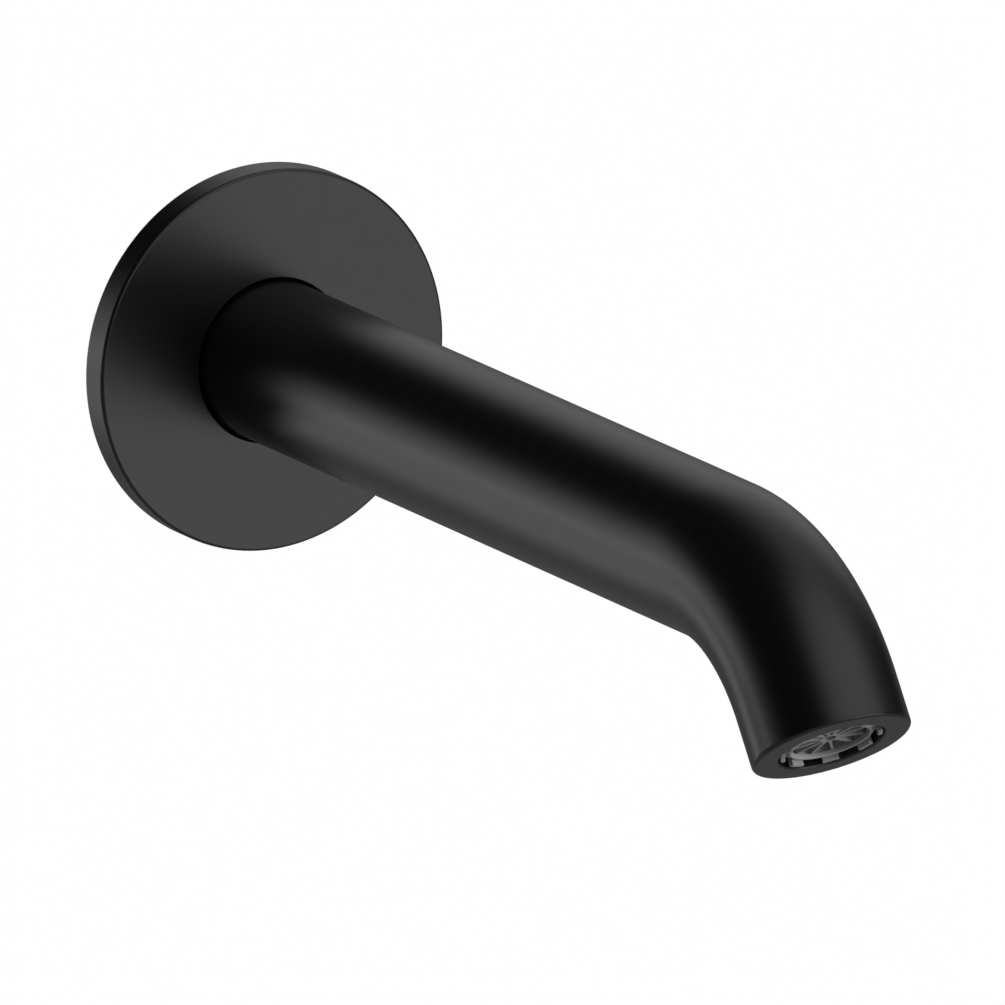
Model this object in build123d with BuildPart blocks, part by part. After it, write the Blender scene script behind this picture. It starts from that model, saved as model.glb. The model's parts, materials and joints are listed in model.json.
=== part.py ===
from build123d import *
import os
from math import pi, radians, sqrt, tan

# Wall-mounted bath spout, in millimetres and degrees
# The wall is the plane y = 0, the inlet axis is the Y axis, and the spout reaches out along -Y

# Spout tube: straight out from the wall, then bent down to the outlet
tube_diameter = 25.0
tube_wall = 3.0
straight_length = 142.0
bend_radius = 35.0
bend_angle = 55.0
outlet_length = 8.0
outlet_edge_radius = 0.6
inlet_gap = 0.5
inlet_chamfer = 0.6

# Wall flange: a cover disc with a hollow back and a hub round the tube
flange_diameter = 60.0
flange_thickness = 5.0
flange_edge_chamfer = 0.4
flange_bore_gap = 0.35
flange_bore_chamfer = 0.2
flange_rim_wall = 2.0
flange_front_wall = 2.0
flange_hub_wall = 4.0
flange_hub_gap = 0.3
flange_groove_station = 2.3

# Connection nipple: half-inch pipe thread behind the wall, spigot in front of it
thread_diameter = 20.955
thread_length = 14.0
thread_chamfer = 1.2
spigot_length = 30.0
spigot_clearance = 0.1
spigot_chamfer = 0.5
nipple_bore = 11.5
nipple_hex = 12.0
nipple_hex_depth = 9.0
front_groove_inset = 5.0
groove_spacing = 5.0

# Rubber rings, drawn as squeezed in their grooves
o_ring_section = 2.0
o_ring_squeeze = 0.2
groove_play = 0.3
seal_clearance = 0.02

# Grub screw under the tube, with its cone in a V groove of the nipple
screw_diameter = 5.0
screw_station = 12.0
screw_recess = 0.6
screw_hex = 2.5
screw_hex_depth = 1.8
screw_clearance = 0.05
lock_groove_depth = 1.2
lock_groove_width = 2.8
cone_angle = 45.0
cone_gap = 0.15

# Aerator: castellated housing, outlet grid, screen, disperser and strainer, stacked from the outlet inwards
aerator_thread = 16.5
aerator_thread_clearance = 0.1
aerator_mouth_chamfer = 0.25
tooth_top_depth = 0.2
tooth_count = 8
tooth_angle = 19.0
tooth_phase = 24.6
tooth_inner_diameter = 13.8
notch_depth = 1.6
lip_diameter = 13.0
lip_depth = 0.7
lip_length = 0.75
insert_diameter = 14.0
insert_clearance = 0.05
star_height = 1.6
star_ribs = 12
star_rib_width = 0.45
star_hub_diameter = 2.7
star_hub_hole = 1.8
star_ring_wall = 0.55
screen_thickness = 0.4
screen_hole = 0.9
screen_pitch = 1.3
screen_rim = 0.7
disperser_height = 2.0
disperser_plate_thickness = 0.8
disperser_skirt_wall = 0.7
jet_hole = 0.9
jet_counts = (10, 18)
jet_circle_radii = (2.7, 4.6)
strainer_flange_thickness = 0.6
strainer_dome_diameter = 11.0
strainer_dome_height = 2.6
strainer_wall = 0.6
strainer_hole = 0.8
strainer_hole_counts = (6, 12)
strainer_circle_radii = (1.6, 3.2)
aerator_seal_thickness = 1.0
aerator_seal_clearance = 0.1
neck_clearance = 0.4
neck_length = 1.5

# Sizes that follow from the driving dimensions
tube_radius = tube_diameter / 2
bore_radius = tube_radius - tube_wall
flange_radius = flange_diameter / 2
flange_bore_radius = tube_radius + flange_bore_gap
flange_hub_radius = flange_bore_radius + flange_hub_wall
flange_rim_radius = flange_radius - flange_rim_wall
flange_pocket = flange_thickness - flange_front_wall
thread_radius = thread_diameter / 2
spigot_radius = bore_radius - spigot_clearance
front_groove_station = spigot_length - front_groove_inset
rear_groove_station = front_groove_station - groove_spacing
ring_height = o_ring_section * (1 - o_ring_squeeze)
ring_round = pi * ring_height ** 2 / 4
ring_width = ring_height + (pi * o_ring_section ** 2 / 4 - ring_round) / ring_height
groove_width = ring_width + groove_play
flange_groove_radius = tube_radius + ring_height
nipple_groove_radius = bore_radius - ring_height
lock_groove_radius = spigot_radius - lock_groove_depth
screw_radius = screw_diameter / 2
screw_tip = lock_groove_radius + cone_gap
screw_top = tube_radius - screw_recess
screw_cone = spigot_radius - screw_tip
hexagon_side_count = 6
aerator_radius = aerator_thread / 2
aerator_bore_radius = aerator_radius + aerator_thread_clearance
tooth_inner_radius = tooth_inner_diameter / 2
tooth_reach = aerator_thread
tooth_spread = tooth_reach * tan(radians(tooth_angle / 2))
lip_radius = lip_diameter / 2
insert_bore_radius = insert_diameter / 2
insert_radius = insert_bore_radius - insert_clearance
star_depth = lip_depth + lip_length
screen_depth = star_depth + star_height
disperser_depth = screen_depth + screen_thickness
strainer_depth = disperser_depth + disperser_height
seal_depth = strainer_depth + strainer_flange_thickness
shoulder_depth = seal_depth + aerator_seal_thickness
collar_depth = shoulder_depth + neck_length
dome_radius = strainer_dome_diameter / 2
neck_radius = dome_radius + neck_clearance
collar_radius = (bore_radius + tube_radius) / 2

os.makedirs("parts", exist_ok=True)


def save(piece, name):
    """Label a finished piece and write it under its own name."""
    piece.part.label = name
    export_step(piece.part, f"parts/{name}.step")


# Spout body: the tube swept along its centreline, with the outlet collar brazed in
with BuildPart() as spout_body:
    with BuildLine(Plane.YZ) as centreline:
        run = Line((-inlet_gap, 0), (-straight_length, 0))
        bend = JernArc(run @ 1, run % 1, bend_radius, bend_angle)
        drop = PolarLine(bend @ 1, outlet_length, direction=bend % 1)
    inlet_plane = Plane(origin=run @ 0, x_dir=(1, 0, 0), z_dir=run % 0)
    outlet_plane = Plane(origin=drop @ 1, x_dir=(1, 0, 0), z_dir=drop % 1)
    outlet_axis = Axis(outlet_plane.origin, outlet_plane.z_dir)
    with BuildSketch(inlet_plane):
        Circle(tube_radius)
        Circle(bore_radius, mode=Mode.SUBTRACT)
    sweep(path=centreline.line)
    with BuildSketch(outlet_plane):
        Circle(collar_radius)
    extrude(amount=-collar_depth)
    with Locations(outlet_plane):
        CounterBoreHole(neck_radius, aerator_bore_radius, shoulder_depth, collar_depth)
    outlet_face = spout_body.faces().filter_by(GeomType.PLANE).sort_by(outlet_axis)[-1]
    fillet(outlet_face.outer_wire().edges(), outlet_edge_radius)
    outlet_face = spout_body.faces().filter_by(GeomType.PLANE).sort_by(outlet_axis)[-1]
    chamfer(outlet_face.inner_wires().edges(), aerator_mouth_chamfer)
    inlet_face = spout_body.faces().filter_by(GeomType.PLANE).sort_by(Axis.Y)[-1]
    chamfer(inlet_face.edges(), inlet_chamfer)
    with Locations(Plane(origin=(0, -screw_station, -tube_radius), z_dir=(0, 0, -1))):
        Hole(screw_radius + screw_clearance, depth=tube_radius)
save(spout_body, "spout_body")

# Wall flange: turned disc, hollow at the back, with a ring groove in its hub
with BuildPart() as wall_flange:
    with BuildSketch():
        with BuildLine():
            Polyline(
                (flange_radius, 0),
                (flange_radius, -flange_thickness),
                (flange_bore_radius, -flange_thickness),
                (flange_bore_radius, -flange_hub_gap),
                (flange_hub_radius, -flange_hub_gap),
                (flange_hub_radius, -flange_pocket),
                (flange_rim_radius, -flange_pocket),
                (flange_rim_radius, 0),
                close=True,
            )
        make_face()
        with Locations((flange_groove_radius, -flange_groove_station)):
            Rectangle(ring_height, groove_width, align=(Align.MAX, Align.CENTER), mode=Mode.SUBTRACT)
    revolve(axis=Axis.Y)
    front_edges = wall_flange.faces().sort_by(Axis.Y)[0].edges().sort_by(SortBy.RADIUS)
    chamfer(front_edges[-1], flange_edge_chamfer)
    chamfer(front_edges[0], flange_bore_chamfer)
save(wall_flange, "wall_flange")

# Flange seal: foam ring that fills the flange's hollow back up to the wall
with BuildPart() as flange_seal:
    with BuildSketch(Plane.XZ):
        Circle(flange_rim_radius - seal_clearance)
        Circle(flange_hub_radius + seal_clearance, mode=Mode.SUBTRACT)
    extrude(amount=flange_pocket)
save(flange_seal, "flange_seal")

# Connection nipple: turned profile with two ring grooves and the grub screw's V groove
with BuildPart() as connection_nipple:
    with BuildSketch():
        with BuildLine():
            Polyline(
                (nipple_bore / 2, thread_length),
                (thread_radius, thread_length),
                (thread_radius, 0),
                (spigot_radius, 0),
                (spigot_radius, -spigot_length),
                (nipple_bore / 2, -spigot_length),
                close=True,
            )
        make_face()
        with Locations((spigot_radius, -front_groove_station), (spigot_radius, -rear_groove_station)):
            Rectangle(
                spigot_radius - nipple_groove_radius,
                groove_width,
                align=(Align.MAX, Align.CENTER),
                mode=Mode.SUBTRACT,
            )
        with Locations((spigot_radius, -screw_station)):
            Trapezoid(
                lock_groove_width + 2 * lock_groove_depth / tan(radians(cone_angle)),
                lock_groove_depth,
                cone_angle,
                rotation=90,
                align=(Align.CENTER, Align.MIN),
                mode=Mode.SUBTRACT,
            )
    revolve(axis=Axis.Y)
    thread_end = connection_nipple.faces().sort_by(Axis.Y)[-1].edges().sort_by(SortBy.RADIUS)[-1]
    chamfer(thread_end, thread_chamfer)
    spigot_end = connection_nipple.faces().sort_by(Axis.Y)[0].edges().sort_by(SortBy.RADIUS)[-1]
    chamfer(spigot_end, spigot_chamfer)
    with BuildSketch(Plane.XZ.offset(spigot_length)):
        RegularPolygon(nipple_hex / 2, hexagon_side_count, major_radius=False)
    extrude(amount=-nipple_hex_depth, mode=Mode.SUBTRACT)
save(connection_nipple, "connection_nipple")

# Rubber rings: one in the flange's hub, two on the nipple's spigot
rings = {
    "flange_o_ring": (tube_radius, flange_groove_station),
    "nipple_o_ring_front": (nipple_groove_radius, front_groove_station),
    "nipple_o_ring_rear": (nipple_groove_radius, rear_groove_station),
}
for ring_name, (ring_inner_radius, ring_station) in rings.items():
    with BuildPart() as o_ring:
        with BuildSketch():
            with Locations((ring_inner_radius + ring_height / 2, -ring_station)):
                SlotOverall(ring_width, ring_height - 2 * seal_clearance, rotation=90)
        revolve(axis=Axis.Y)
    save(o_ring, ring_name)

# Grub screw: cone point up into the nipple, hexagon socket down
with BuildPart() as grub_screw:
    screw_origin = (0, -screw_station, 0)
    with BuildSketch(Plane.XZ.offset(screw_station)):
        with BuildLine():
            Polyline(
                (0, -screw_top),
                (screw_radius, -screw_top),
                (screw_radius, -screw_tip - screw_cone),
                (screw_radius - screw_cone / tan(radians(cone_angle)), -screw_tip),
                (0, -screw_tip),
                close=True,
            )
        make_face()
    revolve(axis=Axis(screw_origin, (0, 0, 1)))
    with BuildSketch(Plane(origin=screw_origin).offset(-screw_top)):
        RegularPolygon(screw_hex / 2, hexagon_side_count, major_radius=False)
    extrude(amount=screw_hex_depth, mode=Mode.SUBTRACT)
save(grub_screw, "grub_screw")

# Aerator housing: threaded ring with a castellated front and a lip that holds the insert
with BuildPart() as aerator_housing:
    with BuildSketch(outlet_plane.offset(-tooth_top_depth)):
        Circle(aerator_radius)
        Circle(lip_radius, mode=Mode.SUBTRACT)
    extrude(amount=tooth_top_depth - seal_depth)
    with BuildSketch(outlet_plane.offset(-star_depth)):
        Circle(insert_bore_radius)
    extrude(amount=star_depth - seal_depth, mode=Mode.SUBTRACT)
    with BuildSketch(outlet_plane):
        Circle(tooth_inner_radius)
    extrude(amount=-lip_depth, mode=Mode.SUBTRACT)
    with BuildSketch(outlet_plane):
        Circle(aerator_bore_radius)
        Circle(tooth_inner_radius, mode=Mode.SUBTRACT)
        with PolarLocations(0, tooth_count, start_angle=tooth_phase):
            tooth_corners = ((0, 0), (tooth_reach, -tooth_spread), (tooth_reach, tooth_spread))
            Polygon(*tooth_corners, align=None, mode=Mode.SUBTRACT)
    extrude(amount=-tooth_top_depth - notch_depth, mode=Mode.SUBTRACT)
save(aerator_housing, "aerator_housing")

# Outlet star: hub, ribs and ring of the outlet grid
with BuildPart() as outlet_star:
    with BuildSketch(outlet_plane.offset(-star_depth)):
        Circle(insert_radius)
        Circle(insert_radius - star_ring_wall, mode=Mode.SUBTRACT)
        Circle(star_hub_diameter / 2)
        with PolarLocations(0, star_ribs):
            Rectangle(insert_radius - star_ring_wall / 2, star_rib_width, align=(Align.MIN, Align.CENTER))
        Circle(star_hub_hole / 2, mode=Mode.SUBTRACT)
    extrude(amount=-star_height)
save(outlet_star, "outlet_star")

# Mixing screen: thin disc with a square grid of holes inside its rim
screen_reach = insert_radius - screen_rim - screen_hole / sqrt(2)
screen_count = 2 * int(screen_reach / screen_pitch) + 1
with BuildPart() as mixing_screen:
    with BuildSketch(outlet_plane.offset(-screen_depth)):
        Circle(insert_radius)
        with GridLocations(screen_pitch, screen_pitch, screen_count, screen_count) as grid:
            inside = [spot for spot in grid.local_locations if spot.position.length < screen_reach]
        with Locations(*inside):
            Rectangle(screen_hole, screen_hole, mode=Mode.SUBTRACT)
    extrude(amount=-screen_thickness)
save(mixing_screen, "mixing_screen")

# Disperser plate: jet plate at the back, skirt down to the screen
with BuildPart() as disperser_plate:
    with BuildSketch(outlet_plane.offset(-disperser_depth)):
        Circle(insert_radius)
    extrude(amount=-disperser_height)
    with BuildSketch(outlet_plane.offset(-disperser_depth)):
        Circle(insert_radius - disperser_skirt_wall)
    extrude(amount=disperser_plate_thickness - disperser_height, mode=Mode.SUBTRACT)
    for jet_count, jet_radius in zip(jet_counts, jet_circle_radii):
        with Locations(outlet_plane.offset(-disperser_depth)):
            with PolarLocations(jet_radius, jet_count):
                Hole(jet_hole / 2, depth=disperser_height)
save(disperser_plate, "disperser_plate")

# Dome strainer: flat flange and a perforated dome that stands up through the neck
with BuildPart() as dome_strainer:
    strainer_back = outlet_plane.offset(-seal_depth)
    dome_section = Plane(origin=strainer_back.origin, x_dir=(1, 0, 0), z_dir=-strainer_back.y_dir)
    with BuildSketch(outlet_plane.offset(-strainer_depth)):
        Circle(insert_radius)
        Circle(dome_radius - strainer_wall, mode=Mode.SUBTRACT)
    extrude(amount=-strainer_flange_thickness)
    with BuildSketch(dome_section):
        with BuildLine():
            outside = TangentArc((0, -strainer_dome_height), (dome_radius, 0), tangent=(1, 0))
            Line(outside @ 1, (dome_radius - strainer_wall, 0))
            inside_top = (0, strainer_wall - strainer_dome_height)
            TangentArc(inside_top, (dome_radius - strainer_wall, 0), tangent=(1, 0))
            Line(inside_top, outside @ 0)
        make_face()
    revolve(axis=outlet_axis)
    for hole_count, ring_radius in zip(strainer_hole_counts, strainer_circle_radii):
        with Locations(strainer_back):
            with PolarLocations(ring_radius, hole_count):
                Hole(strainer_hole / 2, depth=strainer_dome_height)
save(dome_strainer, "dome_strainer")

# Aerator seal: flat ring between the housing and the collar's shoulder
with BuildPart() as aerator_seal:
    with BuildSketch(outlet_plane.offset(-seal_depth)):
        Circle(aerator_radius - aerator_seal_clearance)
        Circle(neck_radius, mode=Mode.SUBTRACT)
    extrude(amount=-aerator_seal_thickness)
save(aerator_seal, "aerator_seal")
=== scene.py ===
import json
import math

import bmesh
import bpy
from bpy.props import FloatProperty, FloatVectorProperty, IntProperty, PointerProperty
from mathutils import Euler, Matrix, Vector


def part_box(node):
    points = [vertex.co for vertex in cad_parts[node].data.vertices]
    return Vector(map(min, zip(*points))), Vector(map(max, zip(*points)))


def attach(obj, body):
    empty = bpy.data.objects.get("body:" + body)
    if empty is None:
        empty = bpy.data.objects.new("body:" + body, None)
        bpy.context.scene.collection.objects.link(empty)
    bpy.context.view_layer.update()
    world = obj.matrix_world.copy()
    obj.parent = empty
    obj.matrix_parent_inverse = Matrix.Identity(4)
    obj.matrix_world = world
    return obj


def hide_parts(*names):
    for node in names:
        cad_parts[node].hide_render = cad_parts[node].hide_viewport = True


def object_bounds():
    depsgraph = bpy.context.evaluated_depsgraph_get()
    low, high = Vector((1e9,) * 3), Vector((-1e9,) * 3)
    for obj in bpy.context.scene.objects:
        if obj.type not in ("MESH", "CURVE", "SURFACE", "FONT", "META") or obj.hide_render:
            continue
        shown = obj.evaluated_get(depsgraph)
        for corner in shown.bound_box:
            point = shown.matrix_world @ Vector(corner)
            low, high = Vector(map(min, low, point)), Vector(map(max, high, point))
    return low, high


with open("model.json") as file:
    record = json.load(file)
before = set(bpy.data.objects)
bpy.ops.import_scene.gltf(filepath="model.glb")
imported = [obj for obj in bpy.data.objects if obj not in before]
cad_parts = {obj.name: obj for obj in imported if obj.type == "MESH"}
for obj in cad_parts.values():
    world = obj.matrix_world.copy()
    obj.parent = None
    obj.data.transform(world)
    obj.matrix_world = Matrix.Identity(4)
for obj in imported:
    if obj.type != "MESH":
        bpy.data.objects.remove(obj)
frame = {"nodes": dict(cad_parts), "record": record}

bl_info = {
    "name": "Bath Spout",
    "version": (1, 0, 0),
    "blender": (4, 5, 0),
    "location": "3D View > Sidebar > Bath Spout",
    "description": "Dresses a bath spout: coated tube and flange, aerator, nipple, seals and stage",
    "category": "Object",
}

CAD_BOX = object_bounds()
MM = 0.001
FULL_TURN = 2 * math.pi

# Edges: rounding of a plain edge, of a fine one and of the flange's back, and where shading breaks
EDGE = 0.05 * MM
FINE_EDGE = EDGE / 5
BACK_EDGE = 0.15 * MM
SHARP_ANGLE = math.radians(35)

# Fineness: where points hold a run flat, then points round a turned piece and steps of a rounding, of the
# bend, of a pitch and of a notch
HOLD = 0.12 * MM
AROUND = 160
ARC_STEPS = 5
BEND_STEP = 0.65 * MM
PITCH_STEPS = 20
NOTCH_STEPS = 12

# The screw hole's sides, and the tube's steps at it: how many to its diameter, and to each side of its middle
HOLE_SIDES = 48
HOLE_STEPS = 8
HOLE_REACH = 6

# A rubber ring's rounding as a share of its height, and how far a cutter stands out of its piece
RING_ROUND = 0.49
OVERCUT = 1 * MM


def across(node, axis):
    """Size of a solid along one axis of the frame: 0 is X, 1 is Y, 2 is Z."""
    low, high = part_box(node)
    return high[axis] - low[axis]


def slot_colour(slot):
    """Base colour that the record gives a material slot."""
    return next(row["base_color"] for row in frame["record"]["materials"] if row["slot"] == slot)


def length(name, description, default):
    """A size in metres that a user can change."""
    return FloatProperty(
        name=name, description=description, default=default, min=0, precision=5, unit="LENGTH"
    )


def offset(name, description, default):
    """A distance in metres, either way, that a user can change."""
    return FloatProperty(name=name, description=description, default=default, unit="LENGTH")


def angle(name, description, degrees):
    """An angle that a user can change."""
    return FloatProperty(name=name, description=description, default=math.radians(degrees), subtype="ANGLE")


def colour(name, description, default):
    """A base colour that a user can change."""
    return FloatVectorProperty(
        name=name, description=description, default=default, size=3, min=0, max=1, subtype="COLOR"
    )


def share(name, description, default):
    """A number from 0 to 1 that a user can change."""
    return FloatProperty(name=name, description=description, default=default, min=0, max=1, subtype="FACTOR")


def level(name, description, default):
    """A light level that a user can change."""
    return FloatProperty(name=name, description=description, default=default, min=0)


class SpoutTubeSizes(bpy.types.PropertyGroup):
    """Sizes of the bent tube and of the bores in it."""

    diameter: length("Diameter", "Outside diameter of the tube", across("spout_body", 0))
    wall: length("Wall", "Wall thickness of the tube", 3 * MM)
    straight: length("Straight run", "From the wall to the start of the bend", 142 * MM)
    bend_radius: length("Bend radius", "Radius of the bend at the tube's centreline", 35 * MM)
    bend_angle: angle("Bend angle", "How far the tube turns down", 55)
    drop: length("Drop", "Straight length after the bend", 8 * MM)
    outlet_edge: length("Outlet edge", "Rounding of the outlet's outer edge", 0.6 * MM)
    inlet_gap: length("Inlet gap", "From the wall to the tube's end", 0.5 * MM)
    inlet_chamfer: length("Inlet chamfer", "Chamfer on both edges of the tube's end", 0.6 * MM)
    aerator_bore: length("Aerator bore", "Diameter of the bore that takes the aerator", 16.7 * MM)
    mouth_chamfer: length("Mouth chamfer", "Chamfer at the mouth of the aerator's bore", 0.25 * MM)
    shoulder_depth: length("Shoulder depth", "From the outlet face to the aerator's seat", 7.05 * MM)
    neck: length("Neck", "Diameter of the waterway through the collar", 11.8 * MM)
    collar_depth: length("Collar depth", "From the outlet face to the collar's inner end", 8.55 * MM)
    screw_hole: length("Screw hole", "Diameter of the grub screw's hole", 5.1 * MM)
    screw_station: length("Screw station", "From the wall to the grub screw", 12 * MM)


class SpoutFlangeSizes(bpy.types.PropertyGroup):
    """Sizes of the cover flange and of the two rings in it."""

    diameter: length("Diameter", "Outside diameter of the flange", across("wall_flange", 0))
    thickness: length("Thickness", "From the wall to the flange's front face", across("wall_flange", 1))
    edge: length("Edge", "Rounding of the front face's edge", 0.5 * MM)
    bore_gap: length("Bore gap", "Gap between the flange and the tube", 0.35 * MM)
    bore_chamfer: length("Bore chamfer", "Chamfer at the front of the bore", 0.2 * MM)
    rim_wall: length("Rim wall", "Wall thickness of the rim", 2 * MM)
    front_wall: length("Front wall", "Thickness of the front plate", 2 * MM)
    hub_wall: length("Hub wall", "Wall thickness of the hub round the tube", 4 * MM)
    hub_gap: length("Hub gap", "From the wall to the hub", 0.3 * MM)
    groove_station: length("Groove station", "From the wall to the middle of the ring groove", 2.3 * MM)
    groove_width: length("Groove width", "Width of each ring groove", 2.607 * MM)
    groove_depth: length("Groove depth", "From the tube to the floor of the ring groove", 1.6 * MM)
    ring_press: length("Ring press", "How far the rubber ring is pressed on the tube", 0.01 * MM)
    foam_gap: length("Foam gap", "Gap between the foam ring and the flange", 0.02 * MM)
    foam_edge: length("Foam edge", "Rounding of the foam ring's edges", 0.45 * MM)


class SpoutNippleSizes(bpy.types.PropertyGroup):
    """Sizes of the threaded connection nipple."""

    thread: length("Thread", "Outside diameter of the pipe thread", across("connection_nipple", 0))
    thread_length: length("Thread length", "How far the thread reaches into the wall", 14 * MM)
    thread_chamfer: length("Thread chamfer", "Chamfer at the start of the thread", 1.2 * MM)
    pitch: length("Pitch", "Distance from one thread to the next", 1.814 * MM)
    thread_depth: length("Thread depth", "Height of the thread", 1.162 * MM)
    spigot: length("Spigot", "Diameter of the part inside the tube", 18.8 * MM)
    spigot_length: length("Spigot length", "How far the spigot reaches into the tube", 30 * MM)
    spigot_chamfer: length("Spigot chamfer", "Chamfer at the spigot's end", 0.5 * MM)
    bore: length("Bore", "Diameter of the waterway", 11.5 * MM)
    hexagon: length("Hexagon", "Size across the flats of the hexagon socket", 12 * MM)
    hexagon_depth: length("Hexagon depth", "Depth of the hexagon socket", 9 * MM)
    ring_groove: length("Ring groove", "Diameter of the floor of the ring grooves", 15.8 * MM)
    front_groove: length("Front groove", "From the wall to the front ring groove", 25 * MM)
    rear_groove: length("Rear groove", "From the wall to the rear ring groove", 20 * MM)
    lock_depth: length("Lock groove depth", "Depth of the grub screw's V groove", 1.2 * MM)
    lock_width: length("Lock groove width", "Width of the V groove's floor", 2.8 * MM)


class SpoutAeratorSizes(bpy.types.PropertyGroup):
    """Sizes of the aerator's housing and outlet star."""

    diameter: length("Diameter", "Outside diameter of the housing", 16.5 * MM)
    tooth_depth: length("Tooth depth", "From the outlet face to the top of the teeth", 0.2 * MM)
    tooth_count: IntProperty(name="Teeth", description="Teeth round the housing", default=8, min=1)
    tooth_angle: angle("Tooth angle", "How much of the circle one tooth takes", 19)
    tooth_turn: angle("Tooth turn", "How far the housing is screwed round", 24.6)
    crown: length("Crown", "Diameter over the teeth", 16.1 * MM)
    tooth_bore: length("Tooth bore", "Diameter inside the teeth", 14.6 * MM)
    tooth_round: length("Tooth rounding", "Rounding of the edges of the teeth", 0.12 * MM)
    crown_depth: length("Crown depth", "From the outlet face to the foot of the crown", 2.1 * MM)
    notch_bore: length("Notch bore", "Diameter inside the notches", 14.2 * MM)
    notch_depth: length("Notch depth", "From the outlet face to the floor of the notches", 1.8 * MM)
    groove_depth: length("Groove depth", "From the outlet face to the groove behind the lip", 1.2 * MM)
    lip_outside: length("Lip outside", "Diameter over the lip", 13.3 * MM)
    lip: length("Lip", "Diameter inside the lip", 12.1 * MM)
    lip_depth: length("Lip depth", "From the outlet face to the lip", 0.7 * MM)
    lip_round: length("Lip rounding", "Rounding of the lip's edges", 0.25 * MM)
    insert_bore: length("Insert bore", "Diameter of the bore that holds the insert", 14 * MM)
    housing_depth: length("Housing depth", "From the outlet face to the housing's inner end", 6.05 * MM)
    star: length("Star", "Outside diameter of the outlet star", 13.9 * MM)
    star_depth: length("Star depth", "From the outlet face to the star", 1.45 * MM)
    star_height: length("Star height", "Height of the star's ribs", 1.6 * MM)
    star_ring: length("Star ring", "Wall thickness of the star's ring", 0.55 * MM)
    rib_count: IntProperty(name="Ribs", description="Ribs of the outlet star", default=12, min=1)
    rib_width: length("Rib width", "Thickness of one rib", 0.45 * MM)
    hub: length("Hub", "Diameter of the star's hub", 3.0 * MM)
    hub_hole: length("Hub hole", "Diameter of the hole through the hub", 2.1 * MM)


class SpoutFinishes(bpy.types.PropertyGroup):
    """Colours of the spout's materials."""

    coating: colour("Coating", "Satin black coating", (0.0015, 0.0015, 0.0015))
    coating_gloss: share("Coating roughness", "How much the coating blurs reflections", 0.3)
    brass: colour("Brass", "Bare turned brass", slot_colour("brass"))
    steel: colour("Steel", "Stainless steel", slot_colour("stainless"))
    grey_plastic: colour("Grey plastic", "Moulded plastic of the aerator", (0.34, 0.34, 0.34))
    dark_plastic: colour("Dark plastic", "Moulded plastic inside the aerator", slot_colour("dark_plastic"))
    rubber: colour("Rubber", "Black rubber of the rings", slot_colour("rubber"))
    foam: colour("Foam", "Closed-cell foam behind the flange", slot_colour("foam"))


class SpoutStage(bpy.types.PropertyGroup):
    """Camera, floor, flag and lights."""

    turn: angle("Turn", "How far the camera stands to the left of the spout", 29.7605)
    rise: angle("Rise", "How far the camera looks down", 14.7807)
    distance: length("Distance", "From the camera to the wall end of the spout", 7.2)
    frame_width: length("Frame width", "Width of the picture at the wall end", 153.691 * MM)
    aim_right: offset("Aim right", "Picture's middle, right of the wall end", 37.56 * MM)
    aim_up: offset("Aim up", "Picture's middle, above the wall end", -22.85 * MM)
    floor_drop: length("Floor drop", "From the spout's axis down to the floor", 1.0)
    floor_colour: colour("Floor", "Pale floor", (0.7, 0.7, 0.7))
    floor_lift: level("Floor lift", "White that the floor adds for the eye and for reflections", 0.09)
    flag_drop: length("Flag drop", "From the spout's axis down to the dark flag", 0.9)
    # The flag's paler middle is a painted pool of light where the key light would fall
    flag_painted_light_middle: level("Flag's middle", "How pale the flag's cloth is below the spout", 0.15)
    flag_edge: level("Flag's edge", "How pale the flag's cloth is farther out", 0.1)
    key_level: level("Key", "Soft light from above", 3.2)
    fill_level: level("Fill", "Soft light from the front right", 3.0)
    rear_level: level("Rear softbox", "Soft light from behind, on the right", 0.504)
    front_level: level("Front softbox", "Soft light from the front, on the right", 0.656)
    low_level: level("Low softbox", "Soft light from the front, near the horizon", 0.9)
    window_level: level("Window", "Broad soft light from above, on the right", 0.336)
    backdrop_level: level("Backdrop", "White of the backdrop behind the spout, on the left", 0.632)
    ambient_level: level("Ambient", "Even soft light from all round, kept out of reflections", 0.24)


class SpoutSettings(bpy.types.PropertyGroup):
    """Everything that a user can change."""

    tube: PointerProperty(type=SpoutTubeSizes)
    flange: PointerProperty(type=SpoutFlangeSizes)
    nipple: PointerProperty(type=SpoutNippleSizes)
    aerator: PointerProperty(type=SpoutAeratorSizes)
    finishes: PointerProperty(type=SpoutFinishes)
    stage: PointerProperty(type=SpoutStage)


def settings():
    """The settings of the scene."""
    return bpy.context.scene.bath_spout


# Node helpers

def feed(tree, socket, value):
    """Link a socket to another one or to a node's first output, or set its value."""
    if isinstance(value, bpy.types.Node):
        value = value.outputs[0]
    if isinstance(value, bpy.types.NodeSocket):
        tree.links.new(value, socket)
    else:
        socket.default_value = value


def add(tree, kind, inputs=None, **options):
    """Add a node, set its options and feed its inputs by name or number."""
    made = tree.nodes.new(kind)
    for option, value in options.items():
        setattr(made, option, value)
    for key, value in (inputs or {}).items():
        feed(tree, made.inputs[key], value)
    return made


def calc(tree, operation, *values):
    """One step of a sum, as a node."""
    made = add(tree, "ShaderNodeMath", operation=operation)
    for socket, value in zip(made.inputs, values):
        feed(tree, socket, value)
    return made


def geometry_tree(name, sockets):
    """A new Geometry Nodes tree with named inputs: the tree, its inputs and its output socket."""
    tree = bpy.data.node_groups.new(name, "GeometryNodeTree")
    tree.interface.new_socket("Geometry", in_out="INPUT", socket_type="NodeSocketGeometry")
    for label, kind in sockets.items():
        tree.interface.new_socket(label, in_out="INPUT", socket_type=f"NodeSocket{kind}")
    tree.interface.new_socket("Geometry", in_out="OUTPUT", socket_type="NodeSocketGeometry")
    return tree, add(tree, "NodeGroupInput").outputs, add(tree, "NodeGroupOutput").inputs["Geometry"]


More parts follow.
